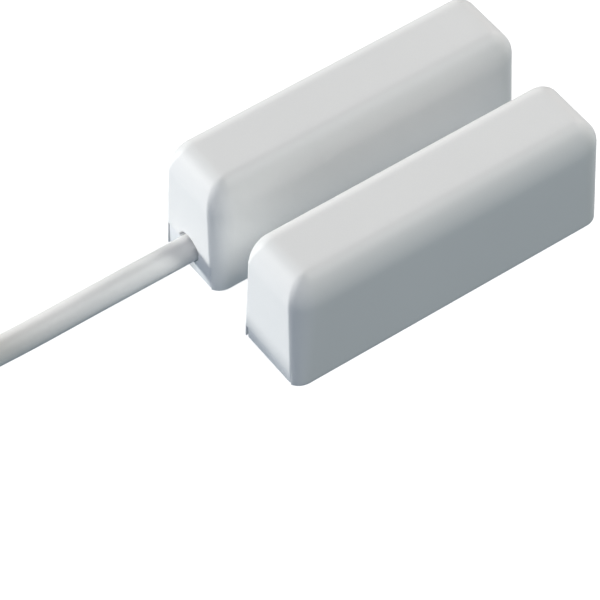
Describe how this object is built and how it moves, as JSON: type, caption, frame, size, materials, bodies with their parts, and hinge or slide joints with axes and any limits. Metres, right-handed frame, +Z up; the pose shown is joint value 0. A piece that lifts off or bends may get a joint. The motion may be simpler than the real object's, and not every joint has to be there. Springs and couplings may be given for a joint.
{
  "type": "door contact sensor",
  "caption": "Surface-mounted door contact: a cabled reed switch bar and a matching magnet bar, each a snap cover over a screw-down base.",
  "frame": {"origin": "centre of the switch unit's mounting face", "axes": "+X along the bars, away from the cable; +Y across them, away from the magnet unit; +Z up off the mounting surface"},
  "size_m": [0.1866, 0.0358, 0.0218],
  "materials": {
    "cover_plastic": "fine satin moulded ABS, white",
    "base_plastic": "moulded ABS, light grey",
    "board": "glass-fibre board under green solder mask",
    "glass": "pale green sealed glass",
    "lead_metal": "tinned nickel-iron wire",
    "contact_metal": "flattened nickel-iron with a plated tip",
    "solder": "soft solder",
    "red_insulation": "PVC core insulation",
    "black_insulation": "PVC core insulation",
    "yellow_insulation": "PVC core insulation",
    "blue_insulation": "PVC core insulation",
    "tie_nylon": "natural nylon",
    "cable_sheath": "white PVC jacket, faintly grey",
    "tie_wrap": "black plastic-coated wire",
    "magnet_metal": "ground cast alnico"
  },
  "bodies": {
    "switch_unit": {"switch_base": "base_plastic", "circuit_board": "board", "reed_glass": "glass", "reed_lead_left": "lead_metal", "reed_lead_right": "lead_metal", "solder_joints": "solder", "core_red": "red_insulation", "core_black": "black_insulation", "core_yellow": "yellow_insulation", "core_blue": "blue_insulation", "strain_relief_tie": "tie_nylon", "cable_sheath": "cable_sheath", "cable_hank": "cable_sheath", "hank_tie": "tie_wrap", "tail_red": "red_insulation", "tail_black": "black_insulation", "tail_yellow": "yellow_insulation", "tail_blue": "blue_insulation"},
    "switch_lid": {"switch_cover": "cover_plastic"},
    "left_blade": {"reed_blade_left": "contact_metal"},
    "right_blade": {"reed_blade_right": "contact_metal"},
    "magnet_unit": {"magnet_base": "base_plastic", "bar_magnet": "magnet_metal"},
    "magnet_lid": {"magnet_cover": "cover_plastic"}
  },
  "joints": [
    {"name": "door_opening", "type": "slide", "parent": "switch_unit", "child": "magnet_unit", "axis": [0, -1, 0], "range_m": [0, 0.04]},
    {"name": "switch_cover_lift", "type": "slide", "parent": "switch_unit", "child": "switch_lid", "axis": [0, 0, 1], "range_m": [0, 0.025]},
    {"name": "magnet_cover_lift", "type": "slide", "parent": "magnet_unit", "child": "magnet_lid", "axis": [0, 0, 1], "range_m": [0, 0.025]},
    {"name": "left_blade_flex", "type": "slide", "parent": "switch_unit", "child": "left_blade", "axis": [0, 0, 1], "range_m": [0, 0.00005]},
    {"name": "right_blade_flex", "type": "slide", "parent": "switch_unit", "child": "right_blade", "axis": [0, 0, -1], "range_m": [0, 0.00005]}
  ],
  "couplings": [
    {"joint": "left_blade_flex", "follows": "door_opening", "ratio": 0.00125},
    {"joint": "right_blade_flex", "follows": "door_opening", "ratio": 0.00125}
  ]
}
